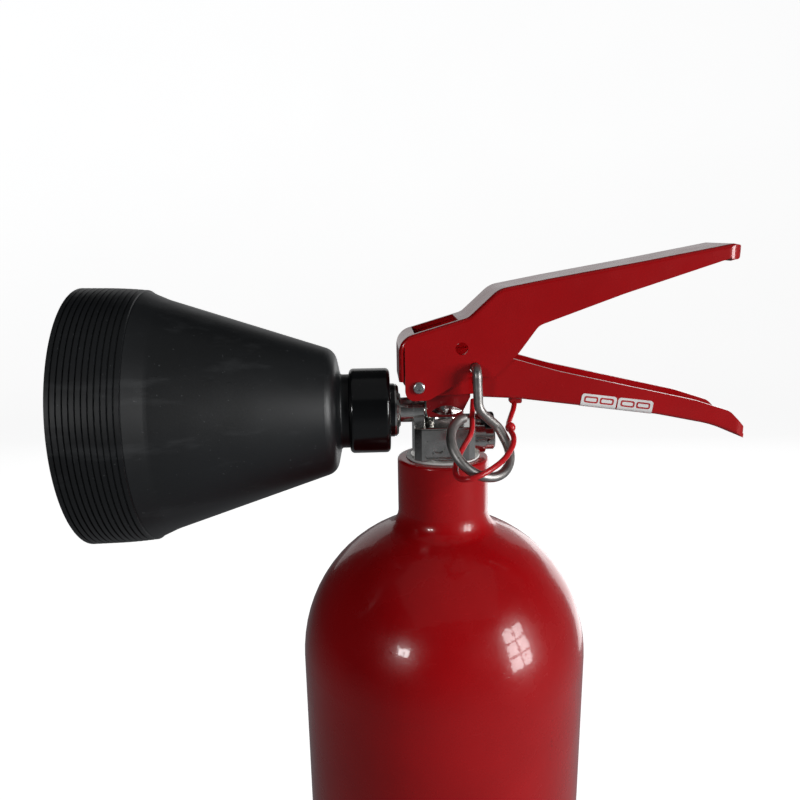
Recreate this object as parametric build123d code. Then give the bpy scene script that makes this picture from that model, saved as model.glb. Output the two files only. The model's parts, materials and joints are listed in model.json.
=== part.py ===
from build123d import *
import math
import os

# Carbon dioxide fire extinguisher, 2 kg: seamless steel cylinder, squeeze-grip valve, discharge horn.
# Millimetres, +Z up. The origin is the centre of the foot ring that the cylinder stands on.
# The horn points to -X, the lever and the carrying handle point to +X.

os.makedirs("parts", exist_ok=True)

# ---------------------------------------------------------------- driving dimensions
BODY_R = 54.0             # cylinder outside radius
WALL = 4.2                # cylinder wall
NECK_TOP = 440.0          # height of the neck's top face
NECK_R = 16.65            # neck outside radius
BORE_R = 12.5             # neck bore, M25 x 2 thread
DOME_DROP = 77.0          # neck top down to the centre of the shoulder dome
NECK_FILLET = 8.0
FOOT_R = 43.0             # outer radius of the flat ring that the cylinder stands on
FOOT_FLAT = 2.0           # width of that ring
FOOT_RISE = 17.0          # height at which the straight wall starts
BASE_HOLLOW = 14.0        # depth of the hollow under the base

OUTLET_Z = NECK_TOP + 17.6    # height of the outlet, collar and horn axis
PIVOT = (-9.35, NECK_TOP + 27.9)      # x, z of the lever's pivot
PIVOT_R = 1.5
PIN_HOLE = (10.0, NECK_TOP + 34.4)    # x, z of the safety pin's hole
TETHER_HOLE = (5.4, NECK_TOP + 41.0)  # x, z of the plain hole above it
LEVER_HALF = 12.5         # half the lever's width
LEVER_T = 1.5             # lever sheet
HANDLE_HALF = 10.7        # half the handle's width
HANDLE_T = 1.4            # handle sheet
SADDLE_HALF = 9.0         # half the saddle bracket's width
SADDLE_T = 1.2            # saddle sheet
WIRE_R = 1.65             # safety pin wire
SEAL_R = 0.95             # tamper seal strand
STEM_R = 1.95
RUN_GAP = 0.05            # radial clearance of a running fit

HORN_MOUTH_X = -124.2
HORN_MOUTH_R = 45.0
HORN_WALL = 2.6
RIB_COUNT = 12
RIB_BAND = 22.5           # length of the ribbed band behind the mouth
COLLAR_R = 15.2
COLLAR_LEFT = -33.6
COLLAR_RIGHT = -19.15
HUB_RIGHT = -17.6         # right face of the collar's small hub
PIPE_R = 4.5              # outlet pipe


def up(z):
    """Height above the neck's top face, as a height in the part's frame."""
    return NECK_TOP + z


def save(name, shape):
    shape.label = name
    export_step(shape, f"parts/{name}.step")


def group(solids):
    return Compound(children=list(solids))


def tube_z(r, z0, z1, x=0.0, y=0.0):
    """Upright cylinder between two heights."""
    return Pos(x, y, z0) * Cylinder(r, z1 - z0, align=(Align.CENTER, Align.CENTER, Align.MIN))


def tube_x(r, x0, x1, y=0.0, z=OUTLET_Z):
    """Cylinder along X between two stations."""
    turned = Rot(0, 90, 0) * Cylinder(r, x1 - x0, align=(Align.CENTER, Align.CENTER, Align.MIN))
    return Pos(x0, y, z) * turned


def tube_y(r, y0, y1, x, z):
    """Cylinder along Y between two stations."""
    turned = Rot(-90, 0, 0) * Cylinder(r, y1 - y0, align=(Align.CENTER, Align.CENTER, Align.MIN))
    return Pos(x, y0, z) * turned


def box(x0, x1, y0, y1, z0, z1):
    corner = (Align.MIN, Align.MIN, Align.MIN)
    return Pos(x0, y0, z0) * Box(x1 - x0, y1 - y0, z1 - z0, align=corner)


def turned_z(points):
    """Solid of revolution about Z from (radius, height) points."""
    with BuildPart() as made:
        with BuildSketch(Plane.XZ):
            with BuildLine():
                Polyline(*points, close=True)
            make_face()
        revolve(axis=Axis.Z)
    return made.part


def turned_x(points, z=OUTLET_Z):
    """Solid of revolution about the outlet axis from (x, radius) points."""
    with BuildPart() as made:
        with BuildSketch(Plane.XZ):
            with BuildLine():
                Polyline(*points, close=True)
            make_face()
        revolve(axis=Axis.X)
    return Pos(0, 0, z) * made.part


def hex_z(across_flats, z0, z1, turn=0.0, chamfer_to=None):
    """Upright hexagon, its corners trimmed to a radius when one is given."""
    corner = across_flats / math.sqrt(3)
    prism = extrude(Rot(0, 0, turn) * RegularPolygon(corner, 6), z1 - z0)
    prism = Pos(0, 0, z0) * prism
    if chamfer_to:
        top = turned_z([(0, z0), (corner, z0), (corner, z1 - 0.8), (chamfer_to, z1), (0, z1)])
        prism = prism & top
    return prism


def bent_strip(path_points, radii, thickness, half_width):
    """Sheet of constant thickness that follows a path in the XZ plane, centred on Y."""
    with BuildSketch(Plane.XZ) as band:
        with BuildLine():
            FilletPolyline(*path_points, radius=radii)
        trace(line_width=thickness)
    return Pos(0, half_width, 0) * extrude(band.sketch, 2 * half_width)


ROLL_LESS = 0.1           # how much less than the sheet's thickness its rolled edges are rounded
LAP = 0.05                # how far a cheek reaches into the rolled edge it hangs from
SNAP = 0.001              # tolerance for picking an edge by its place


def pressed_channel(path_points, radii, thickness, half_width, far_points, cheek, holes):
    """Sheet channel: a web along a path, rolled over at both sides into cheeks cut to a sketch.
    The cheeks lie on the side of the path that far_points close off."""
    roll = thickness - ROLL_LESS
    with BuildSketch(Plane.XZ) as inner_side:
        with BuildLine():
            FilletPolyline(*path_points, radius=radii)
            Polyline(path_points[-1], *far_points, path_points[0])
        make_face()
    web = bent_strip(path_points, radii, thickness, half_width)
    region = inner_side.sketch_local.face()
    sides = [e for e in web.edges() if abs(abs(e.center().Y) - half_width) < SNAP]
    long_sides = [e for e in sides if e.length > thickness + SNAP]
    outer = [e for e in long_sides if not region.is_inside(Vector((e @ 0.5).X, (e @ 0.5).Z, 0))]
    shape = fillet(outer, roll)
    under = offset(inner_side.sketch, amount=LAP + thickness / 2 - roll) & cheek
    for y1 in (thickness - half_width, half_width):
        plate = Pos(0, y1, 0) * extrude(under, thickness)
        for x, z, r in holes:
            plate -= tube_y(r, y1 - thickness - 1, y1 + 1, x, z)
        shape += plate
    return shape


def rounded_outline(points, radii):
    """Closed outline in the XZ plane, every corner rounded."""
    with BuildSketch(Plane.XZ) as outline:
        with BuildLine():
            FilletPolyline(*points, radius=radii, close=True)
        make_face()
    return outline.sketch


# ---------------------------------------------------------------- cylinder
def arc_about(centre, radius, first, last):
    """Arc in the section plane about a centre, from one angle in degrees to another."""
    points = []
    for degrees in (first, 0.5 * (first + last), last):
        a = math.radians(degrees)
        points.append((centre[0] + radius * math.cos(a), centre[1] + radius * math.sin(a)))
    return ThreePointArc(*points)


def cylinder_shell():
    dome_z = NECK_TOP - DOME_DROP
    fillet_r = NECK_R + NECK_FILLET
    dome_angle = math.degrees(math.acos(fillet_r / (BODY_R + NECK_FILLET)))
    fillet_z = dome_z + (BODY_R + NECK_FILLET) * math.sin(math.radians(dome_angle))
    inner_r = BODY_R - WALL
    throat_angle = math.degrees(math.acos(BORE_R / inner_r))
    reach = BODY_R - FOOT_R
    foot_corner = (reach ** 2 + FOOT_RISE ** 2) / (2 * reach)
    foot_centre = (BODY_R - foot_corner, FOOT_RISE)
    foot_angle = math.degrees(math.atan2(-FOOT_RISE, FOOT_R - foot_centre[0]))
    # the base is pressed inwards as a shallow sphere, its wall a little thicker than the side's
    base_edge = (38.0, 2.4)
    base_r = (base_edge[0] ** 2 + (BASE_HOLLOW - base_edge[1]) ** 2) / (2 * (BASE_HOLLOW - base_edge[1]))
    base_centre = (0, BASE_HOLLOW - base_r)
    base_angle = math.degrees(math.acos(base_edge[0] / base_r))
    inner_base_r = base_r + WALL + 0.4
    inner_corner = foot_corner - WALL - 1.0
    corner_x = inner_r - inner_corner
    inner_angle = math.degrees(math.acos(corner_x / inner_base_r))
    corner_z = base_centre[1] + inner_base_r * math.sin(math.radians(inner_angle)) + inner_corner
    with BuildPart() as made:
        with BuildSketch(Plane.XZ):
            with BuildLine():
                arc_about(base_centre, base_r, 90, base_angle)
                ThreePointArc(base_edge, (39.2, 0.8), (FOOT_R - FOOT_FLAT, 0))
                Line((FOOT_R - FOOT_FLAT, 0), (FOOT_R, 0))
                arc_about(foot_centre, foot_corner, foot_angle, 0)
                Line((BODY_R, FOOT_RISE), (BODY_R, dome_z))
                arc_about((0, dome_z), BODY_R, 0, dome_angle)
                arc_about((fillet_r, fillet_z), NECK_FILLET, 180 + dome_angle, 180)
                Line((NECK_R, fillet_z), (NECK_R, NECK_TOP - 1.0))
                arc_about((NECK_R - 1.0, NECK_TOP - 1.0), 1.0, 0, 90)
                Polyline((NECK_R - 1.0, NECK_TOP), (BORE_R + 1.1, NECK_TOP), (BORE_R, NECK_TOP - 1.1),
                         (BORE_R, dome_z + inner_r * math.sin(math.radians(throat_angle))))
                arc_about((0, dome_z), inner_r, throat_angle, 0)
                Line((inner_r, dome_z), (inner_r, corner_z))
                arc_about((corner_x, corner_z), inner_corner, 0, -90)
                arc_about(base_centre, inner_base_r, inner_angle, 90)
                Line((0, base_centre[1] + inner_base_r), (0, BASE_HOLLOW))
            make_face()
        revolve(axis=Axis.Z)
    return made.part


# ---------------------------------------------------------------- valve
BLOCK_HALF = 10.8
BLOCK_TOP = up(13.0)
CHAMBER_R = 4.4
SEAT_Z = up(-2.0)
SPIGOT_R = 5.0
SPIGOT_TOP = up(24.0)
GLAND_BORE_R = 3.4
PLUG_R = 8.0
ARM_RIGHT = -6.6          # inner end of the outlet arm
PORT = (7.2, up(11.0))    # y, z of the filling port
BURST = (0, up(6.2))      # y, z of the burst disc
SADDLE_Z = up(16.4)       # underside of the saddle bracket
PANEL_DEPTH = 1.2
DIMPLE_R = 2.2
DIMPLE_DEPTH = 2.4


def valve_body():
    block = box(-BLOCK_HALF, BLOCK_HALF, -BLOCK_HALF, BLOCK_HALF, up(0.9), BLOCK_TOP)
    block = chamfer(block.edges().filter_by(Axis.Z), 2.4)
    block = fillet(block.faces().sort_by(Axis.Z)[-1].edges(), 0.9)
    body = block + tube_z(11.7, up(-0.6), up(1.2))
    body += tube_z(BORE_R - 0.05, up(-24), up(-0.6))
    body += hex_z(13.4, BLOCK_TOP - 0.2, up(15.4))
    body += tube_z(SPIGOT_R, up(15.2), SPIGOT_TOP)
    # outlet arm standing on the block's horn side, turned to the outlet axis
    arm = tube_x(5.0, -BLOCK_HALF, ARM_RIGHT - 0.1)
    arm += box(-BLOCK_HALF, ARM_RIGHT - 0.1, -4.6, 4.6, up(12.0), OUTLET_Z)
    body += fillet(arm.edges().filter_by(Axis.Y, reverse=True).group_by(Axis.X)[-1], 0.5)
    # bosses of the burst disc and of the filling port on the grip side
    body += tube_x(5.2, BLOCK_HALF - 0.5, 12.4, *BURST)
    body += tube_x(3.0, BLOCK_HALF - 3.0, 14.6, *PORT)
    # panels pressed into the front and rear faces, with a pin dimple
    for side in (-1, 1):
        panel = box(-7.4, 6.1, -PANEL_DEPTH, PANEL_DEPTH, up(1.8), up(8.8))
        panel = fillet(panel.edges().filter_by(Axis.Y), 1.0)
        body -= Pos(0, side * BLOCK_HALF, 0) * panel
        y0, y1 = sorted((side * (BLOCK_HALF - DIMPLE_DEPTH), side * BLOCK_HALF))
        body -= tube_y(DIMPLE_R, y0, y1, -2.2, up(5.6))
    # passages: plug socket, spring chamber, seat, stem chamber, gland bore
    body -= tube_z(PLUG_R, up(-24), up(-14))
    body -= tube_z(CHAMBER_R, up(-14), SEAT_Z)
    body -= tube_z(2.9, SEAT_Z, up(14))
    body -= tube_z(GLAND_BORE_R, up(14), SPIGOT_TOP)
    body -= tube_x(3.0, -10.8, -8.4)
    drill = Cylinder(1.7, 13.0, align=(Align.CENTER, Align.CENTER, Align.MAX))
    body -= Pos(-8.6, 0, OUTLET_Z) * (Rot(0, -46, 0) * drill)
    body -= tube_x(1.6, 2.0, 12.4, *BURST)
    return body


def neck_seal_ring():
    return turned_z([(11.75, up(-0.5)), (12.6, up(-0.5)), (13.4, up(0.3)), (13.2, up(0.8)),
                     (11.75, up(0.8))])


def valve_seat():
    """Brass seat ring pressed under the stem chamber."""
    return turned_z([(2.3, SEAT_Z - 1.6), (2.9, SEAT_Z - 1.6), (CHAMBER_R, SEAT_Z - 1.2),
                     (CHAMBER_R, SEAT_Z), (2.3, SEAT_Z)])


def valve_stem():
    """Push stem with its poppet plate below the seat and a domed top under the lever."""
    stem = tube_z(STEM_R, up(-5.6), up(28.4))
    stem = fillet(stem.faces().sort_by(Axis.Z)[-1].edges(), 1.2)
    plate = tube_z(3.6, up(-7.2), up(-5.4))
    pin = tube_z(1.5, up(-9.6), up(-7.2))
    return stem + plate + pin


def stem_poppet_seal():
    return turned_z([(STEM_R, up(-5.4)), (3.4, up(-5.4)), (3.4, SEAT_Z - 1.7), (STEM_R, SEAT_Z - 1.7)])


def stem_spring():
    """Closing spring, three and a half turns, between the plug and the poppet."""
    length = 5.6
    coil = Helix(pitch=length / 3.5, height=length, radius=3.1, center=(0, 0, up(-13.2)))
    start = Plane(origin=coil @ 0, z_dir=coil % 0)
    return sweep(start * Circle(0.35), path=coil)


def inlet_plug():
    """Threaded plug that carries the spring and the dip tube."""
    plug = turned_z([(2.0, up(-24)), (PLUG_R, up(-24)), (PLUG_R, up(-14.02)), (2.0, up(-14.02))])
    socket = turned_z([(2.0, up(-30)), (5.6, up(-30)), (5.6, up(-24)), (2.0, up(-24))])
    return (plug + socket) - tube_z(4.0, up(-30), up(-20))


def dip_tube():
    """Syphon tube, cut at a slant near the bottom of the cylinder."""
    foot = 24.0
    pipe = tube_z(4.0, foot, up(-20)) - tube_z(3.1, foot - 1, up(-19))
    cut = Pos(0, 0, foot) * (Rot(0, 35, 0) * Box(30, 30, 12, align=(Align.CENTER, Align.CENTER, Align.MAX)))
    return pipe - cut


def stem_o_ring():
    with BuildPart() as made:
        with BuildSketch(Plane.XZ):
            with Locations((2.72, up(18.3))):
                Circle(0.66)
        revolve(axis=Axis.Z)
    return made.part


def gland_nut():
    """Gland screwed into the spigot, it guides the stem."""
    gland = tube_z(GLAND_BORE_R, up(19.2), SPIGOT_TOP) + hex_z(8.4, SPIGOT_TOP, up(25.8), 30, 4.1)
    return gland - tube_z(STEM_R + RUN_GAP, up(19), up(27))


def bracket_washer():
    """Plated washer with a flat beside the outlet arm."""
    ring = turned_z([(SPIGOT_R, up(15.4)), (7.7, up(15.4)), (7.9, up(15.7)), (7.7, SADDLE_Z),
                     (SPIGOT_R, SADDLE_Z)])
    return ring - box(-9.0, ARM_RIGHT, -9.0, 9.0, up(15), up(17))


def bracket_nut():
    """Hexagon nut that clamps the saddle on the valve's spigot."""
    nut = hex_z(13.2, SADDLE_Z + SADDLE_T, up(22.4), 30, 6.7)
    return nut - tube_z(SPIGOT_R, up(17), up(23))


def saddle_bracket():
    """Pressed saddle clamped between washer and nut, its cheeks hold the handle and the pivot."""
    top_z = up(32.6)
    inside = SADDLE_HALF - SADDLE_T
    with BuildPart() as channel:
        with BuildSketch(Plane.YZ):
            with BuildLine():
                Polyline((-SADDLE_HALF, top_z), (-SADDLE_HALF, SADDLE_Z), (SADDLE_HALF, SADDLE_Z),
                         (SADDLE_HALF, top_z), (inside, top_z), (inside, SADDLE_Z + SADDLE_T),
                         (-inside, SADDLE_Z + SADDLE_T), (-inside, top_z), close=True)
            make_face()
        extrude(amount=30, both=True)
        low = channel.edges().filter_by(Axis.X).group_by(Axis.Z)[0]
        fillet(low, 1.1)
    shape = channel.part
    # seen from the side: a narrow dish below, wide cheeks above that reach the pivot
    with BuildSketch(Plane.XZ) as outline:
        with BuildLine():
            FilletPolyline((-5.6, SADDLE_Z - 1), (6.2, SADDLE_Z - 1), (6.2, up(18.4)), (8.8, up(23.6)),
                           (8.8, top_z + 1), (-13.0, top_z + 1), (-13.0, up(24.4)), (-6.5, up(24.0)),
                           (-6.5, up(18.8)), radius=1.0, close=True)
        make_face()
    shape = shape & (Pos(0, 20, 0) * extrude(outline.sketch, 40))
    shape -= tube_z(SPIGOT_R, SADDLE_Z - 1, SADDLE_Z + 3)
    # lens-shaped windows at the foot of both cheeks
    with BuildSketch(Plane.XZ) as lens:
        with BuildLine():
            ThreePointArc((-4.9, up(18.7)), (0.7, up(20.7)), (6.0, up(18.7)))
            ThreePointArc((6.0, up(18.7)), (0.7, up(17.3)), (-4.9, up(18.7)))
        make_face()
    shape -= Pos(0, 20, 0) * extrude(lens.sketch, 40)
    for side in (-1, 1):
        y0, y1 = sorted((side * 7, side * 10))
        shape -= tube_y(PIVOT_R, y0, y1, *PIVOT)
    return shape


# ---------------------------------------------------------------- burst disc and filling port
def burst_disc():
    return tube_x(4.0, 12.4, 12.7, *BURST)


def burst_disc_gasket():
    ring = tube_x(4.0, 12.7, 13.2, *BURST)
    return ring - tube_x(2.0, 12.6, 13.3, *BURST)


def burst_disc_nut():
    """Hollow cap nut over the burst disc, with four relief holes."""
    nut = tube_x(4.0, 13.2, 18.8, *BURST)
    nut += tube_x(5.0, 12.4, 15.2, *BURST) - tube_x(4.0, 12.4, 13.2, *BURST)
    nut = chamfer(nut.faces().sort_by(Axis.X)[-1].edges(), 0.5)
    nut -= tube_x(1.8, 13.0, 17.4, *BURST)
    nut -= tube_y(0.8, -6, 6, 16.4, BURST[1])
    nut -= tube_z(0.8, up(0), up(12), 16.4)
    return nut


def filling_port_cap():
    cap = tube_x(3.5, 14.6, 19.6, *PORT)
    return fillet(cap.faces().sort_by(Axis.X)[-1].edges(), 1.0)


# ---------------------------------------------------------------- carrying handle
HANDLE_TIP_X = 108.5
HANDLE_TIP_R = 5.0        # corners of its free end, seen from above
SWING = 14.0              # travel of the lever in degrees
FLOOR = [(10.5, up(24.5)), (25.4, up(23.5)), (75.0, up(16.7)), (95.0, up(12.5)), (108.6, up(6.6))]


def plan_outline(x0, x1, half, corner):
    """Upright block that rounds the far corners of a grip in plan."""
    slab = box(x0, x1, -half, half, up(-20), up(100))
    far = slab.edges().filter_by(Axis.Z).group_by(Axis.X)[-1]
    return fillet(far, corner)


def carry_handle():
    """Fixed handle: a channel open at the top that curls down at the end."""
    above = [(125, up(2)), (125, up(60)), (-30, up(60)), (-30, up(23.2))]
    flange = [(-12.4, up(23.0)), (10.5, up(23.0)), (60.0, up(15.0)), (108.8, up(3.4)),
              (108.2, up(9.4)), (101.0, up(16.6)), (88.0, up(20.9)), (39.3, up(32.2)), (17.0, up(38.8)),
              (4.0, up(37.8)), (-12.4, up(32.2))]
    corners = [1.0, 30, 60, 1.0, 3.0, 6.0, 30, 60, 12, 12, 2.5]
    shape = pressed_channel(FLOOR, [40, 60, 40], HANDLE_T, HANDLE_HALF, above,
                            rounded_outline(flange, corners), [(*PIVOT, PIVOT_R)])
    shape = shape & plan_outline(-20, HANDLE_TIP_X, HANDLE_HALF, HANDLE_TIP_R)
    # curved slot that leaves room for the safety pin when the lever swings
    reach = math.hypot(PIN_HOLE[0] - PIVOT[0], PIN_HOLE[1] - PIVOT[1])
    raised = math.degrees(math.atan2(PIN_HOLE[1] - PIVOT[1], PIN_HOLE[0] - PIVOT[0]))
    slot = SlotArc(CenterArc(PIVOT, reach, raised - SWING - 0.5, SWING + 0.5), 2 * WIRE_R + 0.6)
    shape -= Pos(0, 20, 0) * extrude(Plane.XZ * slot, 40)
    # hole in the web that the tamper seal goes through
    shape -= tube_z(1.6, up(15), up(30), SEAL_HOLE_X, -1.0)
    return shape


LABEL_T = 0.12
LABEL_LONG = 12.6
LABEL_TALL = 4.6
LABEL_STARTS = (47.2, 60.2)


def handle_label():
    """Two blank self-adhesive labels on the near flange, wrapped round the handle's lower edge."""
    slope = (FLOOR[1][1] - FLOOR[2][1]) / (FLOOR[2][0] - FLOOR[1][0])
    tilt = math.degrees(math.atan(slope))
    roll = HANDLE_T - ROLL_LESS
    middle = LABEL_T / 2
    with BuildSketch(Plane.YZ) as section:
        with BuildLine():
            Line((-HANDLE_HALF - middle, LABEL_TALL), (-HANDLE_HALF - middle, roll))
            CenterArc((roll - HANDLE_HALF, roll), roll + middle, 180, 90)
            Line((roll - HANDLE_HALF, -middle), (2.2 - HANDLE_HALF, -middle))
        trace(line_width=LABEL_T)
    strip = extrude(section.sketch, LABEL_LONG)
    face = box(0, LABEL_LONG, -HANDLE_HALF - 1, HANDLE_HALF, -1, LABEL_TALL)
    upper = face.edges().filter_by(Axis.Y).group_by(Axis.Z)[-1]
    strip = strip & fillet(upper, 1.1)
    labels = []
    for x in LABEL_STARTS:
        under = FLOOR[1][1] - (x - FLOOR[1][0]) * slope - HANDLE_T / 2 / math.cos(math.radians(tilt))
        labels.append(Pos(x, 0, under) * (Rot(0, tilt, 0) * strip))
    return group(labels)


# ---------------------------------------------------------------- squeeze lever
def squeeze_lever():
    """Operating lever: a channel open below, with a front flap and a tongue that presses the stem."""
    mid = [(-15.3, up(29.9)), (-15.3, up(44.0)), (8.0, up(50.7)), (18.2, up(60.0)), (36.0, up(63.2)),
           (66.0, up(68.1)), (96.3, up(73.4)), (99.9, up(72.7)), (98.9, up(69.9)), (95.8, up(69.2))]
    below = [(95.8, up(10)), (-15.3, up(10))]
    cheek = [(-14.0, up(23.3)), (-6.0, up(23.3)), (8.6, up(31.6)), (16.6, up(31.0)), (24.8, up(39.0)),
             (31.6, up(48.3)), (60, up(58.3)), (98.6, up(70.4)), (98.6, up(76)), (-14.0, up(76))]
    corners = [3.2, 6.0, 4.0, 3.0, 12, 5.0, 60, 1.0, 1.0, 1.0]
    holes = [(*PIVOT, PIVOT_R + RUN_GAP), (*TETHER_HOLE, 2.15), (*PIN_HOLE, WIRE_R + 0.2)]
    shape = pressed_channel(mid, [5.5, 6.0, 8.0, 40, 60, 1.5, 1.2, 1.2], LEVER_T, LEVER_HALF, below,
                            rounded_outline(cheek, corners), holes)
    shape = shape & plan_outline(-20, 100.6, LEVER_HALF, 6.0)
    # slot that the tongue was pressed out of
    shape -= box(-10.6, 4.4, -9.8, 9.8, up(40), up(56))
    tongue = bent_strip([(5.8, up(49.2)), (2.9, up(46.2)), (0.4, up(33.4))], 2.0, LEVER_T, 5.0)
    nose = tube_y(2.5, -5.0, 5.0, 0.0, up(31.3))
    return shape + tongue + nose


def pivot_rivet():
    shank = tube_y(PIVOT_R, -12.6, 12.6, *PIVOT)
    for side in (-1, 1):
        y0, y1 = sorted((side * 12.6, side * 13.7))
        head = tube_y(2.15, y0, y1, *PIVOT)
        outer = head.faces().sort_by(Axis.Y)[-1 if side > 0 else 0]
        shank += fillet(outer.edges(), 0.8)
        d0, d1 = sorted((side * 13.2, side * 13.8))
        shank -= tube_y(0.8, d0, d1, *PIVOT)
    return shank


# ---------------------------------------------------------------- safety pin
RING_R = 11.4
RING_CENTRE = Vector(10.2, -27.0, up(10.4))
RING_LONG = Vector(0.834, 0.0, -0.552)
RING_SHORT = Vector(-0.347, -0.779, -0.523)


def ring_point(degrees):
    a = math.radians(degrees)
    return RING_CENTRE + RING_LONG * (RING_R * math.cos(a)) + RING_SHORT * (RING_R * math.sin(a))


def safety_pin():
    """One piece of wire: a straight shank through lever and handle, then a pull ring."""
    first, last = -48, 218
    arrive = ring_point(first)
    a = math.radians(first)
    tangent = RING_LONG * (-math.sin(a)) + RING_SHORT * math.cos(a)
    x, z = PIN_HOLE
    corner = arrive - tangent * 5.0
    with BuildPart() as made:
        with BuildLine() as path:
            FilletPolyline((x, 14.6, z), (x, -17.0, z), (x + 0.7, -17.0, up(20.6)), tuple(corner),
                           tuple(arrive), radius=[2.6, 6.0, 5.0])
            ThreePointArc(arrive, ring_point(0.5 * (first + last)), ring_point(last))
        with BuildSketch(Plane(origin=(x, 14.6, z), z_dir=(0, -1, 0))):
            Circle(WIRE_R)
        sweep(path=path.line)
    return made.part


# ---------------------------------------------------------------- tamper seal
SEAL_ROUTE = [(26.0, -0.5, up(26.5)), (26.0, -2.0, up(19.2)), (23.0, -9.0, up(15.6)),
              (21.0, -16.0, up(14.4)), (22.4, -24.5, up(12.0)), (18.2, -31.4, up(7.6)),
              (11.8, -37.6, up(5.2)), (5.6, -40.2, up(3.2)), (1.0, -36.8, up(2.4)),
              (1.2, -30.2, up(5.4)), (4.4, -24.5, up(9.4)), (8.2, -20.6, up(13.6)),
              (8.8, -14.2, up(18.4)), (9.9, -8.2, up(22.2))]
SEAL_HOLE_X = 26.0        # hole in the handle's web that the strap comes down through


def corner_radii(route):
    """Largest tangent arc that both runs beside each corner allow."""
    radii = []
    for before, here, after in zip(route, route[1:], route[2:]):
        a = Vector(*here) - Vector(*before)
        b = Vector(*after) - Vector(*here)
        turn = math.radians(a.get_angle(b))
        radii.append(0.45 * min(a.length, b.length) / math.tan(turn / 2))
    return radii


def tamper_seal_strap():
    """Plastic strap from its head under the handle, through the pull ring, up to the handle's web."""
    radii = corner_radii(SEAL_ROUTE)
    print("tamper seal radii", [round(r, 1) for r in radii])
    with BuildPart() as made:
        with BuildLine() as path:
            FilletPolyline(*SEAL_ROUTE, radius=radii)
        start = Vector(*SEAL_ROUTE[0])
        with BuildSketch(Plane(origin=start, z_dir=Vector(*SEAL_ROUTE[1]) - start)):
            Circle(SEAL_R)
        sweep(path=path.line)
    length = sum(e.length for e in path.line.edges())
    print("tamper seal length", round(length, 1))
    print("volume over section times length", round(made.part.volume / (math.pi * SEAL_R ** 2 * length), 4))
    return made.part


def tamper_seal_head():
    """Moulded head that locks the strap under the handle."""
    block = box(SEAL_HOLE_X - 2.2, SEAL_HOLE_X + 2.2, -3.6, 0.6, up(19.6), up(22.4))
    return fillet(block.edges(), 0.7)


def tamper_seal_knob():
    """Moulded bead on the strap."""
    before, here, after = (Vector(*p) for p in SEAL_ROUTE[2:5])
    centre = here * 0.5 + before * 0.25 + after * 0.25
    return Pos(centre.X, centre.Y, centre.Z) * Sphere(1.8)


# ---------------------------------------------------------------- outlet and horn
def outlet_pipe():
    pipe = tube_x(PIPE_R, -41.0, -10.8) + tube_x(3.0, -10.8, -8.6)
    return pipe - tube_x(2.0, -42, -8)


def outlet_lock_ring():
    """Plated lock ring on the outlet pipe, against the collar."""
    return turned_x([(-17.5, PIPE_R), (-17.5, 9.4), (-16.9, 9.4), (-16.1, 8.6), (-15.9, 6.2), (-15.4, 5.8),
                     (-15.4, PIPE_R)])


def horn_collar():
    """Black coupling nut that holds the horn on the outlet pipe."""
    ring = turned_x([(COLLAR_LEFT, 10.6), (COLLAR_LEFT, COLLAR_R), (COLLAR_RIGHT, COLLAR_R),
                     (COLLAR_RIGHT, 9.6), (HUB_RIGHT, 9.6), (HUB_RIGHT, PIPE_R + RUN_GAP),
                     (-21.6, PIPE_R + RUN_GAP), (-21.6, 10.6)])
    rim = [e for e in ring.edges().filter_by(GeomType.CIRCLE) if abs(e.radius - COLLAR_R) < 0.01]
    return fillet(rim, 1.6)


def horn_washer():
    return turned_x([(-23.6, 5.4), (-23.6, 10.5), (-21.65, 10.5), (-21.65, 5.4)])


def horn():
    """Moulded discharge horn: stepped ribs behind the mouth, a cone, a rounded end and a threaded neck."""
    pitch = RIB_BAND / RIB_COUNT
    groove = 0.6
    band = [(HORN_MOUTH_X, HORN_MOUTH_R - HORN_WALL), (HORN_MOUTH_X, HORN_MOUTH_R)]
    for i in range(RIB_COUNT):
        x0 = HORN_MOUTH_X + i * pitch
        radius = HORN_MOUTH_R - 0.035 * i - 0.012 * max(0, i - 4) ** 2
        band += [(x0 + 0.1, radius), (x0 + pitch - 0.55, radius - 0.05),
                 (x0 + pitch - 0.35, radius - groove), (x0 + pitch - 0.1, radius - groove)]
    neck_r = 13.2
    bore_r = 5.6
    cone = [band[-1], (-95.5, 40.6), (-38.4, 21.8), (-36.6, neck_r), (COLLAR_LEFT - 0.1, neck_r)]
    screw = [cone[-1], (COLLAR_LEFT - 0.1, 10.5), (-23.7, 10.5), (-23.7, bore_r), (-37.5, bore_r)]
    inside = [screw[-1], (-37.5, 8.5), (-43.4, 20.4), (-98.5, 38.9), band[0]]
    with BuildPart() as made:
        with BuildSketch(Plane.XZ):
            with BuildLine():
                Polyline(*band)
                FilletPolyline(*cone, radius=[12, 5.5, 0.8])
                Polyline(*screw)
                FilletPolyline(*inside, radius=[1.5, 6, 16])
            make_face()
        revolve(axis=Axis.X)
    return Pos(0, 0, OUTLET_Z) * made.part


def discharge_nozzle():
    """Brass nozzle on the pipe's end inside the horn."""
    cap = turned_x([(-47.0, 0), (-47.0, 6.0), (-41.6, 7.2), (-41.0, 7.2), (-41.0, 0)])
    sleeve = turned_x([(-41.0, PIPE_R), (-41.0, 7.2), (-38.0, 7.2), (-38.0, PIPE_R)])
    nozzle = cap + sleeve
    nozzle -= tube_x(2.0, -44.5, -40.9)
    for k in range(4):
        a = math.radians(45 + 90 * k)
        nozzle -= tube_x(0.8, -48, -44, 2.4 * math.cos(a), OUTLET_Z + 2.4 * math.sin(a))
    nozzle -= turned_x([(-44.6, 0), (-44.6, 3.4), (-43.4, 3.4), (-43.4, 0)])
    return nozzle


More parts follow.
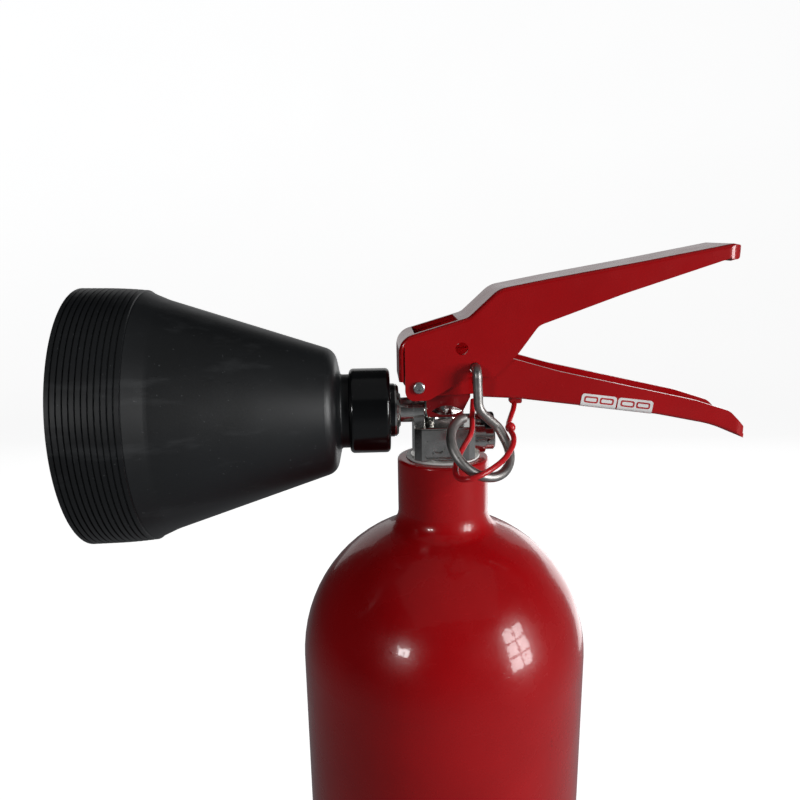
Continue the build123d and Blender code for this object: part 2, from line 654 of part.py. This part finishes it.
PARTS = [cylinder_shell, valve_body, neck_seal_ring, valve_seat, valve_stem, stem_poppet_seal,
         stem_spring, inlet_plug, dip_tube, stem_o_ring, gland_nut, bracket_washer, bracket_nut,
         saddle_bracket, burst_disc, burst_disc_gasket, burst_disc_nut, filling_port_cap,
         carry_handle, handle_label, squeeze_lever, pivot_rivet, safety_pin, tamper_seal_strap,
         tamper_seal_head, tamper_seal_knob, outlet_pipe, outlet_lock_ring, horn_collar,
         horn_washer, horn, discharge_nozzle]

for make in PARTS:
    save(make.__name__, make())
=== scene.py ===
import json
import math

import bpy
from mathutils import Matrix, Vector


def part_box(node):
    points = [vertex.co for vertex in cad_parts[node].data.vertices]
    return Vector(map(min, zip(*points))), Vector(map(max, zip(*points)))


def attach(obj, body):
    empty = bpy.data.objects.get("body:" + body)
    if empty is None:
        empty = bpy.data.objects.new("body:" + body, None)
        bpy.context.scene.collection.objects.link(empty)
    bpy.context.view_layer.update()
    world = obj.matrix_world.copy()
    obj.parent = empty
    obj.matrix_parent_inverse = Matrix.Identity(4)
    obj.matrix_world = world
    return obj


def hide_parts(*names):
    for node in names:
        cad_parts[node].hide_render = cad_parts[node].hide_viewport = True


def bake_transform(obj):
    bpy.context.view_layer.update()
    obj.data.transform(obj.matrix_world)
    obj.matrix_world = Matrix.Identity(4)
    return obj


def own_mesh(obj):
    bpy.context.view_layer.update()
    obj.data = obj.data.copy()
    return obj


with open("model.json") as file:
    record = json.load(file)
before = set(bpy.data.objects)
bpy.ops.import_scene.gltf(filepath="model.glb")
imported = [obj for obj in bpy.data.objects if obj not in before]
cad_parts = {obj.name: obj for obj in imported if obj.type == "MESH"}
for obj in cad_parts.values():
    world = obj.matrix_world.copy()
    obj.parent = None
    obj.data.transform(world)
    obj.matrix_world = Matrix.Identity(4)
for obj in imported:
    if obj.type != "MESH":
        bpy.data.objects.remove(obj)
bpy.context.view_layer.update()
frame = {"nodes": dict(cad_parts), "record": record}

# Carbon dioxide fire extinguisher: the looks. Metres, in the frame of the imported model.

NODES = frame["nodes"]
NECK_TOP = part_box("cylinder_shell")[1].z

# ---------------------------------------------------------------- camera
CAMERA_PLACE = (-0.0258, -0.2822, NECK_TOP + 0.0801)
CAMERA_YAW, CAMERA_PITCH, CAMERA_ROLL = (math.radians(a) for a in (2.12, 15.57, -0.9))
CAMERA_SHIFT = (-0.0013, 0.0662)
CAMERA_LENS = 36.0
CAMERA_SENSOR = 36.0


def make_camera():
    """Camera in front of the valve and above its neck, looking a little down."""
    flat = math.cos(CAMERA_PITCH)
    forward = Vector((math.sin(CAMERA_YAW) * flat, math.cos(CAMERA_YAW) * flat, -math.sin(CAMERA_PITCH)))
    right = Vector((math.cos(CAMERA_YAW), -math.sin(CAMERA_YAW), 0.0))
    above = right.cross(forward)
    across = right * math.cos(CAMERA_ROLL) + above * math.sin(CAMERA_ROLL)
    upward = above * math.cos(CAMERA_ROLL) - right * math.sin(CAMERA_ROLL)
    lens = bpy.data.cameras.new("camera")
    lens.sensor_width = CAMERA_SENSOR
    lens.lens = CAMERA_LENS
    lens.shift_x, lens.shift_y = CAMERA_SHIFT
    lens.clip_start = 0.01
    camera = bpy.data.objects.new("camera", lens)
    bpy.context.scene.collection.objects.link(camera)
    turned = Matrix((across, upward, -forward)).transposed().to_4x4()
    camera.matrix_world = Matrix.Translation(CAMERA_PLACE) @ turned
    bpy.context.scene.camera = camera


make_camera()

# ---------------------------------------------------------------- the tamper seal's strap, a free cord
STRAP_DIAMETER = 0.0019
STRAP_ROUTE = [
    (0.0260, -0.0005, 0.4665), (0.0260, -0.0020, 0.4592), (0.0230, -0.0090, 0.4556),
    (0.0210, -0.0160, 0.4544), (0.0224, -0.0245, 0.4520), (0.0182, -0.0314, 0.4476),
    (0.0118, -0.0376, 0.4452), (0.0056, -0.0402, 0.4432), (0.0010, -0.0368, 0.4424),
    (0.0012, -0.0302, 0.4454), (0.0044, -0.0245, 0.4494), (0.0082, -0.0206, 0.4536),
    (0.0088, -0.0142, 0.4584), (0.0099, -0.0082, 0.4622)]


def mesh_of(curve):
    """Mesh of a curve, as it would be drawn."""
    holder = bpy.data.objects.new("holder", curve)
    bpy.context.scene.collection.objects.link(holder)
    bpy.context.view_layer.update()
    mesh = bpy.data.meshes.new_from_object(holder.evaluated_get(bpy.context.evaluated_depsgraph_get()))
    bpy.data.objects.remove(holder)
    return mesh


def make_strap():
    """Strap of the tamper seal, a round cord along its route; on the real extinguisher its loop follows the
    pull ring when the lever swings.
    """
    curve = bpy.data.curves.new("seal_strap", "CURVE")
    curve.dimensions = "3D"
    line = curve.splines.new("NURBS")
    line.points.add(len(STRAP_ROUTE) - 1)
    for point, place in zip(line.points, STRAP_ROUTE):
        point.co = (*place, 1.0)
        point.radius = STRAP_DIAMETER / 2
    line.order_u = 3
    line.use_endpoint_u = True
    line.resolution_u = 16
    centreline = [tuple(vertex.co) for vertex in mesh_of(curve).vertices]
    curve.bevel_depth = 1.0       # times each point's radius
    curve.bevel_resolution = 8
    curve.use_fill_caps = True
    strap = bpy.data.objects.new("seal_strap", mesh_of(curve))
    bpy.context.scene.collection.objects.link(strap)
    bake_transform(strap)
    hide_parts("tamper_seal_strap")
    return strap


STRAP = make_strap()


# ---------------------------------------------------------------- closing spring, compressed by the stem
SPRING_WIRE = 0.00035
SPRING_TURNS = 3.5
SPRING_STEPS = 28             # per turn


def make_spring():
    """The spring as its own helix, because it shortens when the lever is squeezed."""
    lowest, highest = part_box("stem_spring")
    radius = 0.5 * (highest.x - lowest.x) - SPRING_WIRE
    bottom = lowest.z + SPRING_WIRE
    rise = highest.z - SPRING_WIRE - bottom
    count = round(SPRING_TURNS * SPRING_STEPS)
    curve = bpy.data.curves.new("closing_spring", "CURVE")
    curve.dimensions = "3D"
    line = curve.splines.new("POLY")
    line.points.add(count)
    for i, point in enumerate(line.points):
        a = 2 * math.pi * i / SPRING_STEPS
        point.co = (radius * math.cos(a), radius * math.sin(a), bottom + rise * i / count, 1.0)
    curve.bevel_depth = SPRING_WIRE
    curve.bevel_resolution = 4
    curve.use_fill_caps = True
    spring = bpy.data.objects.new("closing_spring", mesh_of(curve))
    bpy.context.scene.collection.objects.link(spring)
    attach(spring, "root")
    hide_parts("stem_spring")
    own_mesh(spring)
    return spring


SPRING = make_spring()


# ---------------------------------------------------------------- printed frames on the two labels
LABEL_STARTS = (0.0472, 0.0602)
LABEL_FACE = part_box("handle_label")[0].y
FLOOR_START = (0.0254, NECK_TOP + 0.0235)     # where the handle's lower face starts to slope
FLOOR_SLOPE = 0.1371
SHEET_BELOW = 0.000707        # half the handle's sheet, measured upright
FRAME_PROUD = 0.00003         # how far the print stands off the film
FRAME_PLACES = ((0.0010, 0.0060), (0.0066, 0.0116))
FRAME_LOW, FRAME_HIGH = 0.0015, 0.0038
FRAME_LINE = 0.00055
FRAME_CORNER = 0.0007


def rounded_loop(u0, u1, v0, v1, radius):
    """Points round a rectangle with rounded corners."""
    loop, steps = [], 5
    corners = ((u1 - radius, v0 + radius, -90), (u1 - radius, v1 - radius, 0),
               (u0 + radius, v1 - radius, 90), (u0 + radius, v0 + radius, 180))
    for u, v, first in corners:
        for i in range(steps + 1):
            a = math.radians(first + 90 * i / steps)
            loop.append((u + radius * math.cos(a), v + radius * math.sin(a)))
    return loop


def make_label_frames(name, start_x):
    """Two thin printed frames side by side on one label."""
    tilt = math.atan(FLOOR_SLOPE)
    base_z = FLOOR_START[1] - (start_x - FLOOR_START[0]) * FLOOR_SLOPE - SHEET_BELOW
    corners, faces = [], []
    for u0, u1 in FRAME_PLACES:
        outer = rounded_loop(u0, u1, FRAME_LOW, FRAME_HIGH, FRAME_CORNER)
        inner = rounded_loop(u0 + FRAME_LINE, u1 - FRAME_LINE, FRAME_LOW + FRAME_LINE,
                             FRAME_HIGH - FRAME_LINE, FRAME_CORNER - 0.5 * FRAME_LINE)
        first, count = len(corners), len(outer)
        for depth in (-FRAME_PROUD, FRAME_PROUD):
            for u, v in outer + inner:
                x = start_x + u * math.cos(tilt) + v * math.sin(tilt)
                z = base_z + v * math.cos(tilt) - u * math.sin(tilt)
                corners.append((x, LABEL_FACE - depth, z))
        for i in range(count):
            j = (i + 1) % count
            ring = [first + k for k in (i, j, count + j, count + i)]
            back = [k + 2 * count for k in ring]
            faces.append(back)
            faces.append(ring[::-1])
            faces.append((ring[0], ring[1], back[1], back[0]))
            faces.append((ring[2], ring[3], back[3], back[2]))
    mesh = bpy.data.meshes.new(name)
    mesh.from_pydata(corners, [], faces)
    frames = bpy.data.objects.new(name, mesh)
    bpy.context.scene.collection.objects.link(frames)
    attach(frames, "root")
    return frames


FRAMES = [make_label_frames(f"label_frames_{i + 1}", x) for i, x in enumerate(LABEL_STARTS)]


# ---------------------------------------------------------------- material building blocks
def add(tree, kind, **values):
    """New shader node. Each value goes to the input or the property of its name; sockets are joined."""
    node = tree.nodes.new("ShaderNode" + kind)
    for key, value in values.items():
        name = key.replace("_", " ")
        if name not in node.inputs:
            setattr(node, key, value)
        elif isinstance(value, bpy.types.NodeSocket):
            tree.links.new(value, node.inputs[name])
        else:
            node.inputs[name].default_value = value
    return node


def start(name, **constants):
    """New material with its shader's constant values, and the object's own coordinates."""
    made = bpy.data.materials.new(name)
    made.use_nodes = True
    tree = made.node_tree
    shader = tree.nodes["Principled BSDF"]
    for key, value in constants.items():
        shader.inputs[key.replace("_", " ")].default_value = value
    place = tree.nodes.new("ShaderNodeTexCoord").outputs["Object"]
    return made, tree, shader, place


def noise(tree, place, scale, detail=3.0, rough=0.5, stretch=None):
    """Fractal noise, its features 1 / scale metres across; stretch scales the three axes."""
    if stretch:
        place = add(tree, "Mapping", Vector=place, Scale=stretch).outputs["Vector"]
    made = add(tree, "TexNoise", Vector=place, Scale=scale, Detail=detail, Roughness=rough)
    return made.outputs["Fac"]


def as_colour(value):
    """Opaque colour; a number stands for a grey."""
    return (*value, 1.0) if hasattr(value, "__len__") else (value, value, value, 1.0)


def ramp(tree, factor, stops):
    """Colour ramp through (place, colour) stops."""
    made = add(tree, "ValToRGB", Fac=factor)
    elements = made.color_ramp.elements
    while len(elements) < len(stops):
        elements.new(0.5)
    for element, (place, colour) in zip(elements, stops):
        element.position = place
        element.color = as_colour(colour)
    return made.outputs["Color"]


def span(tree, value, low, high, start_at=0.3, end_at=0.7):
    """Spreads the values between start_at and end_at over low to high."""
    made = add(tree, "MapRange", Value=value,
               From_Min=start_at, From_Max=end_at, To_Min=low, To_Max=high)
    return made.outputs["Result"]


def sum_of(tree, *weighted):
    """Sum of (socket, weight) pairs."""
    total = None
    for socket, weight in weighted:
        part = add(tree, "Math", operation="MULTIPLY")
        tree.links.new(socket, part.inputs[0])
        part.inputs[1].default_value = weight
        if total is None:
            total = part.outputs[0]
            continue
        both = add(tree, "Math", operation="ADD")
        tree.links.new(total, both.inputs[0])
        tree.links.new(part.outputs[0], both.inputs[1])
        total = both.outputs[0]
    return total


def bump(tree, height, distance):
    """Normal of a relief that is distance metres deep."""
    return add(tree, "Bump", Height=height, Distance=distance, Strength=1.0).outputs["Normal"]


def mix(tree, factor, first, second):
    """Colour between first and second, either of them a colour or a socket."""
    made = add(tree, "MixRGB", Fac=factor)
    for slot, value in (("Color1", first), ("Color2", second)):
        if isinstance(value, bpy.types.NodeSocket):
            tree.links.new(value, made.inputs[slot])
        else:
            made.inputs[slot].default_value = as_colour(value)
    return made.outputs["Color"]


# ---------------------------------------------------------------- materials
FINE_RELIEF = 0.00002


def gloss_paint(name, deep, bright, peel):
    """Sprayed gloss enamel: orange peel, faint clouds of colour, dust nibs and hairline scuffs."""
    made, tree, shader, place = start(
        name, Coat_Weight=0.45, Coat_Roughness=0.035, Coat_IOR=1.45, Specular_IOR_Level=0.28)
    clouds = noise(tree, place, 22.0, 4.0, 0.55)
    hairs = noise(tree, place, 90.0, 2.0, 0.5, (1.0, 1.0, 22.0))
    hairs = ramp(tree, hairs, [(0.70, 0.0), (0.76, 1.0)])
    colour = ramp(tree, clouds, [(0.30, deep), (0.72, bright)])
    scuffed = tuple(min(1.0, c * 1.12 + 0.012) for c in bright)
    hair_share = sum_of(tree, (hairs, 0.35))
    tree.links.new(mix(tree, hair_share, colour, scuffed), shader.inputs["Base Color"])
    smudges = noise(tree, place, 60.0, 5.0, 0.6)
    tree.links.new(span(tree, smudges, 0.20, 0.33), shader.inputs["Roughness"])
    coarse = noise(tree, place, 190.0, 2.0, 0.4)
    fine = noise(tree, place, 620.0, 2.0, 0.5)
    nibs = ramp(tree, noise(tree, place, 780.0, 0.0, 0.5), [(0.80, 0.0), (0.86, 1.0)])
    height = sum_of(tree, (coarse, 0.7), (fine, 0.3), (nibs, 0.35), (hairs, -0.15))
    normal = bump(tree, height, peel)
    tree.links.new(normal, shader.inputs["Normal"])
    tree.links.new(normal, shader.inputs["Coat Normal"])
    return made


def plated_metal(name, dark, light, rough):
    """Plated or bare metal: fine grain, water marks and a few pits."""
    made, tree, shader, place = start(name, Metallic=1.0)
    stains = noise(tree, place, 120.0, 5.0, 0.62)
    grain = noise(tree, place, 900.0, 3.0, 0.6)
    pits = ramp(tree, noise(tree, place, 700.0, 1.0, 0.5), [(0.22, 1.0), (0.29, 0.0)])
    colour = ramp(tree, stains, [(0.30, dark), (0.62, light)])
    pitted = tuple(c * 0.45 for c in dark)
    tree.links.new(mix(tree, pits, colour, pitted), shader.inputs["Base Color"])
    worn = sum_of(tree, (stains, 0.6), (grain, 0.4))
    tree.links.new(span(tree, worn, *rough), shader.inputs["Roughness"])
    height = sum_of(tree, (grain, 0.5), (stains, 0.5), (pits, -0.6))
    tree.links.new(bump(tree, height, FINE_RELIEF), shader.inputs["Normal"])
    return made


def moulded_plastic(name, dark, light, rough, scuff=0.5, scuff_colour=(0.10, 0.11, 0.12), **constants):
    """Moulded plastic: fine grain, cloudy handling marks, scuffs and dust."""
    made, tree, shader, place = start(name, **constants)
    clouds = noise(tree, place, 26.0, 5.0, 0.6)
    streaks = noise(tree, place, 55.0, 4.0, 0.65, (0.35, 1.0, 2.2))
    marks = ramp(tree, streaks, [(0.56, 0.0), (0.74, 1.0)])
    dust = ramp(tree, noise(tree, place, 950.0, 1.0, 0.5), [(0.74, 0.0), (0.80, 1.0)])
    colour = ramp(tree, clouds, [(0.32, dark), (0.70, light)])
    worn = sum_of(tree, (marks, 0.12 * scuff), (dust, 0.30 * scuff))
    tree.links.new(mix(tree, worn, colour, scuff_colour), shader.inputs["Base Color"])
    matt = sum_of(tree, (clouds, 0.7), (marks, 0.3))
    tree.links.new(span(tree, matt, *rough), shader.inputs["Roughness"])
    fine = noise(tree, place, 1400.0, 2.0, 0.5)
    height = sum_of(tree, (fine, 0.5), (clouds, 0.6), (marks, 0.1))
    tree.links.new(bump(tree, height, FINE_RELIEF), shader.inputs["Normal"])
    return made


MATERIALS = {
    "red_paint": gloss_paint(
        "body_enamel", (0.345, 0.0016, 0.0036), (0.430, 0.0026, 0.0052), 0.00006),
    "red_paint_sheet": gloss_paint(
        "grip_enamel", (0.335, 0.0016, 0.0034), (0.430, 0.0025, 0.0050), 0.00005),
    # The saddle has the same red enamel as the grip, painted darker: painted shade for the shadow it sits
    # in under the lever's and the handle's flanges.
    "red_paint_dark": gloss_paint(
        "saddle_enamel_painted_shade", (0.200, 0.0030, 0.0050), (0.290, 0.0045, 0.0070), 0.00005),
    "chrome": plated_metal("nickel_plate", (0.48, 0.47, 0.45), (0.72, 0.71, 0.69), (0.12, 0.30)),
    "steel": plated_metal("bright_steel", (0.50, 0.50, 0.50), (0.66, 0.66, 0.66), (0.20, 0.36)),
    "zinc_wire": plated_metal("zinc_wire", (0.24, 0.23, 0.225), (0.40, 0.385, 0.37), (0.36, 0.52)),
    "brass": plated_metal("machined_brass", (0.50, 0.34, 0.12), (0.66, 0.48, 0.20), (0.18, 0.34)),
    "aluminium": plated_metal("drawn_aluminium", (0.58, 0.58, 0.60), (0.74, 0.74, 0.76), (0.22, 0.38)),
    "ptfe": moulded_plastic("ptfe", (0.74, 0.74, 0.72), (0.86, 0.86, 0.84), (0.40, 0.55),
                            scuff=0.2, scuff_colour=(0.45, 0.44, 0.42)),
    "rubber": moulded_plastic("seal_rubber", (0.014, 0.014, 0.014), (0.030, 0.030, 0.030), (0.60, 0.78)),
    "black_plastic": moulded_plastic("horn_plastic", (0.0030, 0.0036, 0.0042), (0.0060, 0.0072, 0.0085),
                                     (0.40, 0.52), scuff=1.5, scuff_colour=(0.085, 0.09, 0.095)),
    "black_plastic_gloss": moulded_plastic(
        "collar_plastic", (0.0020, 0.0023, 0.0027), (0.0045, 0.0050, 0.0056), (0.16, 0.30), scuff=0.35),
    "red_plastic": moulded_plastic("seal_plastic", (0.46, 0.006, 0.010), (0.62, 0.012, 0.018), (0.26, 0.40),
                                   scuff=0.3, scuff_colour=(0.75, 0.20, 0.20), Subsurface_Weight=0.12,
                                   Subsurface_Scale=0.002),
    "print": moulded_plastic("label_print", (0.40, 0.020, 0.024), (0.52, 0.032, 0.036), (0.34, 0.48),
                             scuff=0.4, scuff_colour=(0.80, 0.60, 0.60)),
    "label_film": moulded_plastic("label_film", (0.76, 0.76, 0.75), (0.88, 0.88, 0.87), (0.30, 0.45),
                                  scuff=0.5, scuff_colour=(0.42, 0.40, 0.38)),
}


def dress():
    """Each CAD node takes the material of its slot."""
    for part in frame["record"]["subparts"]:
        node = NODES[part["node"]]
        node.data.materials.clear()
        node.data.materials.append(MATERIALS[part["material_slot"]])
    STRAP.data.materials.append(MATERIALS["red_plastic"])
    SPRING.data.materials.append(MATERIALS["steel"])
    for frames in FRAMES:
        frames.data.materials.append(MATERIALS["print"])


dress()

# ---------------------------------------------------------------- stage and light
TARGET = Vector((0.0, 0.0, NECK_TOP))
PANE_GAP = 0.14               # share of a window that its bars take up
STAGE_RADIUS, STAGE_BEND, STAGE_TOP = 3.2, 0.9, 4.0
STAGE_CENTRE = 0.4            # radius of the fan of triangles in the middle of the floor
STAGE_STEPS, STAGE_SIDES = 12, 96


def softbox(name, azimuth, elevation, distance, width, height, radiance, columns=1, rows=1):
    """Soft light that faces the valve, split into panes.

    Azimuth 0 is in front of the valve and 90 on its grip side.
    """
    turn, rise = math.radians(azimuth), math.radians(elevation)
    away = Vector((math.sin(turn) * math.cos(rise), -math.cos(turn) * math.cos(rise), math.sin(rise)))
    facing = away.to_track_quat("Z", "Y")
    gap = PANE_GAP if columns * rows > 1 else 0.0
    pane_width = width * (1 - gap) / columns
    pane_height = height * (1 - gap) / rows
    for column in range(columns):
        for row in range(rows):
            light = bpy.data.lights.new(name, "AREA")
            light.shape = "RECTANGLE"
            light.size, light.size_y = pane_width, pane_height
            light.energy = math.pi * pane_width * pane_height * radiance
            pane = bpy.data.objects.new(f"{name}_{column}_{row}", light)
            bpy.context.scene.collection.objects.link(pane)
            aside = ((column + 0.5) / columns - 0.5) * width
            above = ((row + 0.5) / rows - 0.5) * height
            pane.location = TARGET + away * distance + facing @ Vector((aside, above, 0.0))
            pane.rotation_mode = "QUATERNION"
            pane.rotation_quaternion = facing
            pane.visible_camera = False


def make_stage():
    """Plain pale floor that sweeps up into a round backdrop."""
    sides, flat = STAGE_SIDES, STAGE_RADIUS - STAGE_BEND
    profile = [(STAGE_CENTRE, 0.0), (flat, 0.0)]
    for i in range(1, STAGE_STEPS + 1):
        a = 0.5 * math.pi * i / STAGE_STEPS
        profile.append((flat + STAGE_BEND * math.sin(a), STAGE_BEND - STAGE_BEND * math.cos(a)))
    profile.append((STAGE_RADIUS, STAGE_TOP))
    corners = [(0.0, 0.0, 0.0)]
    for r, z in profile:
        for k in range(sides):
            a = 2 * math.pi * k / sides
            corners.append((r * math.cos(a), r * math.sin(a), z))
    faces = [(0, 1 + k, 1 + (k + 1) % sides) for k in range(sides)]
    for ring in range(len(profile) - 1):
        for k in range(sides):
            here, after = 1 + ring * sides + k, 1 + ring * sides + (k + 1) % sides
            faces.append((here, here + sides, after + sides, after))
    mesh = bpy.data.meshes.new("stage")
    mesh.from_pydata(corners, [], faces)
    mesh.polygons.foreach_set("use_smooth", [True] * len(faces))
    stage = bpy.data.objects.new("stage", mesh)
    bpy.context.scene.collection.objects.link(stage)
    made, tree, shader, place = start("pale_floor", Roughness=0.9, Specular_IOR_Level=0.1,
                                      Emission_Strength=0.90, Emission_Color=(1.0, 1.0, 1.0, 1.0))
    shade = ramp(tree, noise(tree, place, 3.0), [(0.3, 0.50), (0.7, 0.54)])
    tree.links.new(shade, shader.inputs["Base Color"])
    mesh.materials.append(made)
    stage.visible_glossy = False
    stage.visible_diffuse = False


def make_world():
    """Dim room: darkest above and on the horn's side, brighter on the grip's side and below."""
    world = bpy.data.worlds.new("studio")
    world.use_nodes = True
    tree = world.node_tree
    direction = tree.nodes.new("ShaderNodeTexCoord").outputs["Generated"]
    parts = add(tree, "SeparateXYZ", Vector=direction)
    side = span(tree, parts.outputs["X"], 0.025, 0.17, -0.55, 0.60)
    fade = span(tree, parts.outputs["Z"], 1.0, 0.35, -0.10, 0.45)
    walls = add(tree, "Math", operation="MULTIPLY")
    tree.links.new(side, walls.inputs[0])
    tree.links.new(fade, walls.inputs[1])
    below = span(tree, parts.outputs["Z"], 0.11, 0.0, -0.45, -0.10)
    total = sum_of(tree, (walls.outputs[0], 1.0), (below, 1.0))
    tree.links.new(total, tree.nodes["Background"].inputs["Strength"])
    tree.nodes["Background"].inputs["Color"].default_value = (0.93, 0.96, 1.0, 1.0)
    bpy.context.scene.world = world


make_stage()
make_world()
bpy.context.scene.view_settings.view_transform = "Standard"
softbox("window_right", 57.0, 10.0, 1.3, 0.46, 0.68, 20.0, 2, 3)
softbox("window_left", -37.0, 15.0, 1.2, 0.20, 0.15, 38.0, 2, 1)
softbox("ceiling", 10.0, 75.0, 1.6, 2.4, 2.0, 0.12)
softbox("back_wall", 176.0, 12.0, 1.6, 2.2, 1.0, 0.54)
softbox("back_right", 146.0, -12.0, 1.5, 0.8, 0.8, 1.7)
